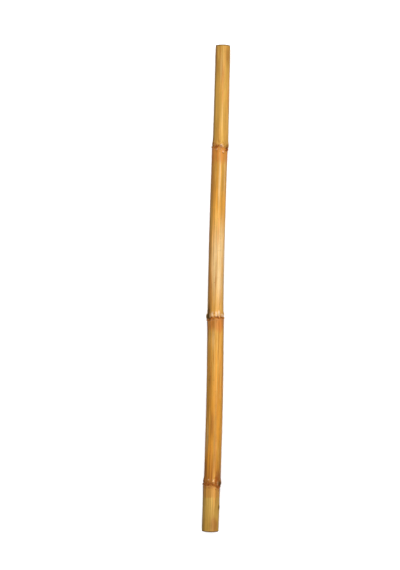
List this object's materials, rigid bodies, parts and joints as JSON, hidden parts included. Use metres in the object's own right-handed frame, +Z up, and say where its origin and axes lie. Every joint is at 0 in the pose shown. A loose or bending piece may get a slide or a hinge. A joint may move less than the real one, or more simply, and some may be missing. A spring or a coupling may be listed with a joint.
{
  "type": "bamboo cane",
  "caption": "Straight cut length of dried bamboo culm with ring-like nodes and hollow sawn ends, lying on its nodes; used as a plant stake, garden pole or craft stock.",
  "frame": {"origin": "on the surface that the cane lies on, under the middle of its length and width", "axes": "+Y along the cane from its thick butt to its thin tip; +Z up, away from the surface; +X to the right, seen from above with the tip pointing away"},
  "size_m": [0.0304, 0.762, 0.0276],
  "materials": {
    "bamboo": "dried bamboo culm: hard glossy outer skin, orange tan, with darker stained nodes"
  },
  "bodies": {
    "root": {"bamboo_cane": "bamboo"}
  },
  "joints": []
}
